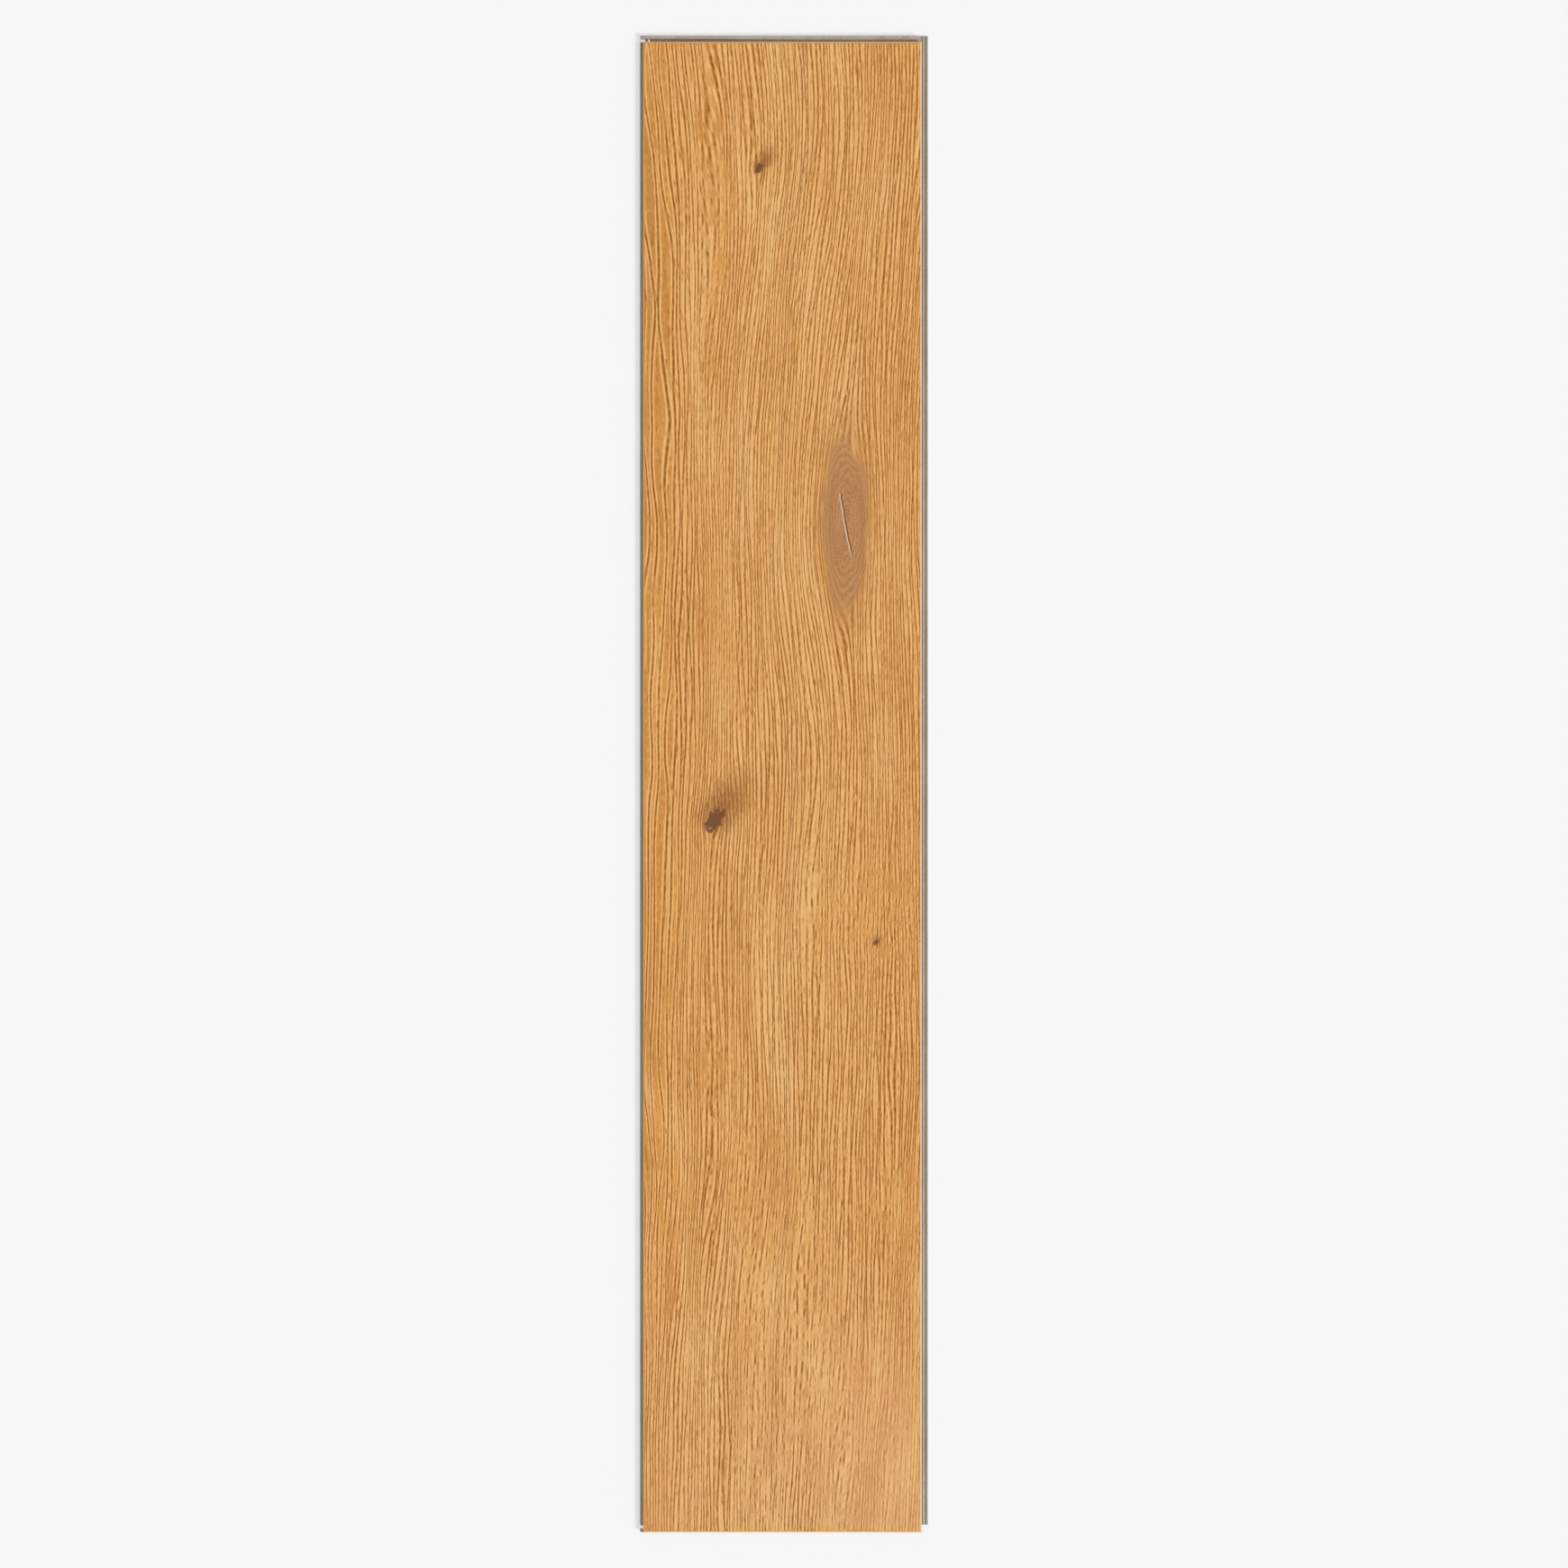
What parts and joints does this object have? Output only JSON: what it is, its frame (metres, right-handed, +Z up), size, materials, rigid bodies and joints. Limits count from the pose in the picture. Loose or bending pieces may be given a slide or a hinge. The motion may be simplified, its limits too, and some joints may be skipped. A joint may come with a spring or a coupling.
{
  "type": "vinyl floor plank",
  "caption": "Long click-lock vinyl floor plank with a wood-look face, fine bevelled edges, tongue and groove along the sides and drop-in hook locks at the ends.",
  "frame": {"origin": "point on the underside straight below the centre of the laid face", "axes": "+X across the plank towards its groove, +Y along the plank towards the end with the lower lip, +Z up from the underside to the face that is walked on"},
  "size_m": [0.2358, 1.2256, 0.006],
  "materials": {
    "vinyl": "satin"
  },
  "bodies": {
    "root": {"plank": "vinyl"}
  },
  "joints": []
}
